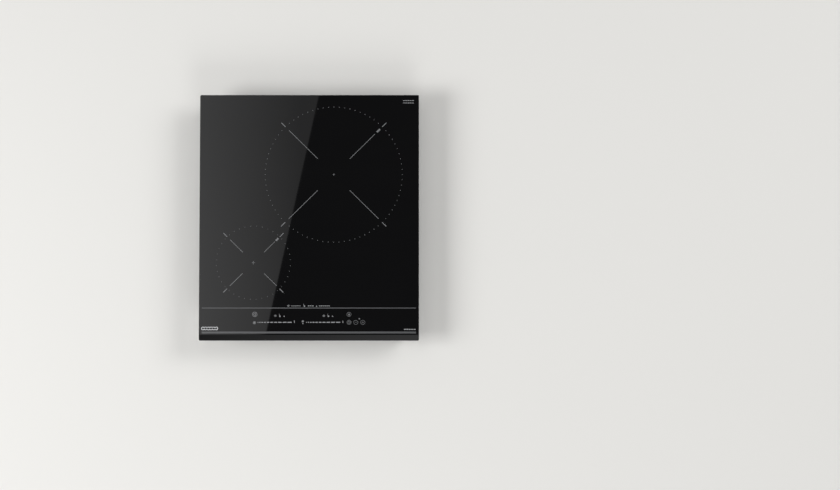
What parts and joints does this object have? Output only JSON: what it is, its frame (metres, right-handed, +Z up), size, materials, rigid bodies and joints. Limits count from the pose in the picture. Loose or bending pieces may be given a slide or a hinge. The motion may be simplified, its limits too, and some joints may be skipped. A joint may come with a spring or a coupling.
{
  "type": "induction cooktop",
  "caption": "Built-in induction cooktop: flat black glass top with a large and a small cooking zone, touch sliders, and a stepped steel casing that holds coils, power board and fan.",
  "frame": {"origin": "centre of the casing's underside, the plane it rests on when it stands on a table", "axes": "+Z up through the glass, +Y from the front edge with the controls to the back, +X to the right"},
  "size_m": [0.45, 0.51, 0.06],
  "materials": {
    "black_glass_ceramic": "polished black glass-ceramic",
    "sealing_tape": "closed-cell foam",
    "silicone_adhesive": "cured silicone",
    "galvanised_sheet": "hot-dip galvanised",
    "zinc_plated_steel": "bright zinc plated",
    "clamp_steel": "pressed steel",
    "aluminium_sheet": "mill finish",
    "extruded_aluminium": "as extruded",
    "copper_litz": "enamelled stranded copper",
    "ferrite": "sintered and ground",
    "carrier_plastic": "glass-filled, moulded",
    "mica": "pressed mica sheet",
    "silicone_cap": "moulded silicone",
    "spring_steel": "drawn wire",
    "fan_plastic": "moulded",
    "motor_shell": "lacquered",
    "green_board": "solder-masked laminate",
    "white_nylon": "moulded nylon",
    "package_epoxy": "moulded epoxy",
    "capacitor_box": "moulded case",
    "choke_winding": "enamelled copper on a ring core",
    "transformer_tape": "polyester tape over ferrite",
    "control_plastic": "moulded",
    "conductive_foam": "carbon-filled foam",
    "display_module": "tinted epoxy face",
    "grey_ribbon": "flat ribbon",
    "silicone_sleeve": "silicone sleeving",
    "wire_insulation": "rubber insulation",
    "terminal_plastic": "moulded",
    "terminal_block_plastic": "moulded",
    "terminal_brass": "plated"
  },
  "bodies": {
    "casing": {"air_duct": "fan_plastic", "board_connectors": "white_nylon", "board_supports": "white_nylon", "bottom_casing": "galvanised_sheet", "bridge_rectifier": "package_epoxy", "cable_inlet": "terminal_plastic", "casing_screws": "zinc_plated_steel", "chokes": "choke_winding", "clamp_nuts": "zinc_plated_steel", "clamp_screws": "zinc_plated_steel", "coil_leads": "silicone_sleeve", "coil_plate": "aluminium_sheet", "control_board": "green_board", "control_carrier": "control_plastic", "control_posts": "control_plastic", "control_springs": "spring_steel", "displays": "display_module", "fan_housing": "fan_plastic", "fan_lid": "fan_plastic", "fan_motor": "motor_shell", "film_capacitors": "capacitor_box", "filter_board": "green_board", "filter_choke": "choke_winding", "frame_adhesive": "silicone_adhesive", "glass_top": "black_glass_ceramic", "heatsink": "extruded_aluminium", "large_coil_carrier": "carrier_plastic", "large_coil_ferrites": "ferrite", "large_coil_mica": "mica", "large_coil_sensor": "silicone_cap", "large_coil_shield": "aluminium_sheet", "large_coil_springs": "spring_steel", "large_coil_winding": "copper_litz", "mains_leads": "wire_insulation", "plate_screws": "zinc_plated_steel", "plate_standoffs": "aluminium_sheet", "power_board": "green_board", "power_transistors": "package_epoxy", "ribbon_cable": "grey_ribbon", "rim_seal": "sealing_tape", "small_coil_carrier": "carrier_plastic", "small_coil_ferrites": "ferrite", "small_coil_mica": "mica", "small_coil_sensor": "silicone_cap", "small_coil_shield": "aluminium_sheet", "small_coil_springs": "spring_steel", "small_coil_winding": "copper_litz", "support_frame": "galvanised_sheet", "terminal_block": "terminal_block_plastic", "terminal_box": "terminal_plastic", "terminal_screws": "terminal_brass", "touch_pads": "conductive_foam", "transformer": "transformer_tape"},
    "fan_wheel": {"fan_impeller": "fan_plastic", "fan_shaft": "zinc_plated_steel"},
    "clamp_front_left_arm": {"clamp_front_left": "clamp_steel"},
    "clamp_front_right_arm": {"clamp_front_right": "clamp_steel"},
    "clamp_rear_left_arm": {"clamp_rear_left": "clamp_steel"},
    "clamp_rear_right_arm": {"clamp_rear_right": "clamp_steel"},
    "cover": {"terminal_cover": "terminal_plastic"}
  },
  "joints": [
    {"name": "fan_spin", "type": "hinge", "parent": "casing", "child": "fan_wheel", "pos_m": [-0.0901, 0.1721, 0.014], "axis": [0, 0, 1], "continuous": true},
    {"name": "clamp_front_left_swing", "type": "hinge", "parent": "casing", "child": "clamp_front_left_arm", "pos_m": [-0.186, -0.19, 0.005], "axis": [0, 0, 1], "range_deg": [0, 90]},
    {"name": "clamp_front_right_swing", "type": "hinge", "parent": "casing", "child": "clamp_front_right_arm", "pos_m": [0.186, -0.19, 0.005], "axis": [0, 0, -1], "range_deg": [0, 90]},
    {"name": "clamp_rear_left_swing", "type": "hinge", "parent": "casing", "child": "clamp_rear_left_arm", "pos_m": [-0.186, 0.19, 0.005], "axis": [0, 0, -1], "range_deg": [0, 90]},
    {"name": "clamp_rear_right_swing", "type": "hinge", "parent": "casing", "child": "clamp_rear_right_arm", "pos_m": [0.186, 0.19, 0.005], "axis": [0, 0, 1], "range_deg": [0, 90]},
    {"name": "cover_hinge", "type": "hinge", "parent": "casing", "child": "cover", "pos_m": [0.1262, 0.242, 0.0067], "axis": [-1, 0, 0], "range_deg": [0, 95]}
  ]
}
